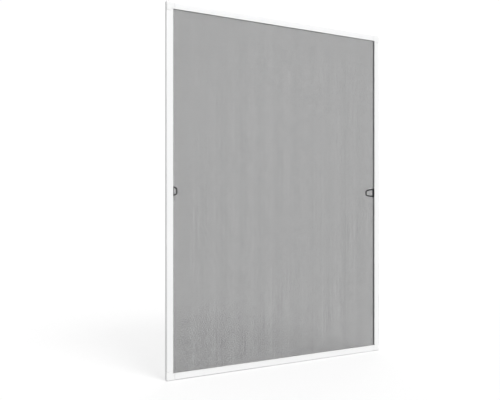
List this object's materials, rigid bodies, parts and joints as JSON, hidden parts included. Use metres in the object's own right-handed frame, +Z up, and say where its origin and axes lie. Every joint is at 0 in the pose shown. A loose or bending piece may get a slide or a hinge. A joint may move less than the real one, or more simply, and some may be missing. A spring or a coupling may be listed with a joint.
{
  "type": "window insect screen frame",
  "caption": "Slim rectangular insect screen: white aluminium frame with plug-in corner blocks, fine dark mesh, brush seals, hanging hooks and black D-shaped pull handles.",
  "frame": {"origin": "middle of the bottom rail's underside", "axes": "+X along the width, to the right seen from outdoors; +Y from the outdoor face towards the window; +Z up"},
  "size_m": [1, 0.0303, 1.4],
  "materials": {
    "white_powder_coat": "satin white powder coat on aluminium",
    "white_corner_plastic": "fine-grained white moulding",
    "anthracite_mesh": "coated glass-fibre yarn, open weave",
    "white_spline": "smooth white cord",
    "grey_pile": "dense upright pile",
    "zinc_plate": "zinc-plated bent sheet",
    "zinc_screw": "zinc-plated",
    "black_plastic": "matt black moulding",
    "black_screw": "black oxide"
  },
  "bodies": {
    "root": {"top_rail": "white_powder_coat", "bottom_rail": "white_powder_coat", "left_stile": "white_powder_coat", "right_stile": "white_powder_coat", "corner_top_left": "white_corner_plastic", "corner_top_right": "white_corner_plastic", "corner_bottom_left": "white_corner_plastic", "corner_bottom_right": "white_corner_plastic", "insect_mesh": "anthracite_mesh", "spline_top": "white_spline", "spline_bottom": "white_spline", "spline_left": "white_spline", "spline_right": "white_spline", "brush_seal_top": "grey_pile", "brush_seal_bottom": "grey_pile", "brush_seal_left": "grey_pile", "brush_seal_right": "grey_pile", "hook_top_left": "zinc_plate", "hook_top_right": "zinc_plate", "hook_bottom_left": "zinc_plate", "hook_bottom_right": "zinc_plate", "hook_screws": "zinc_screw", "pull_handle_left": "black_plastic", "pull_handle_right": "black_plastic", "handle_screws": "black_screw"}
  },
  "joints": []
}
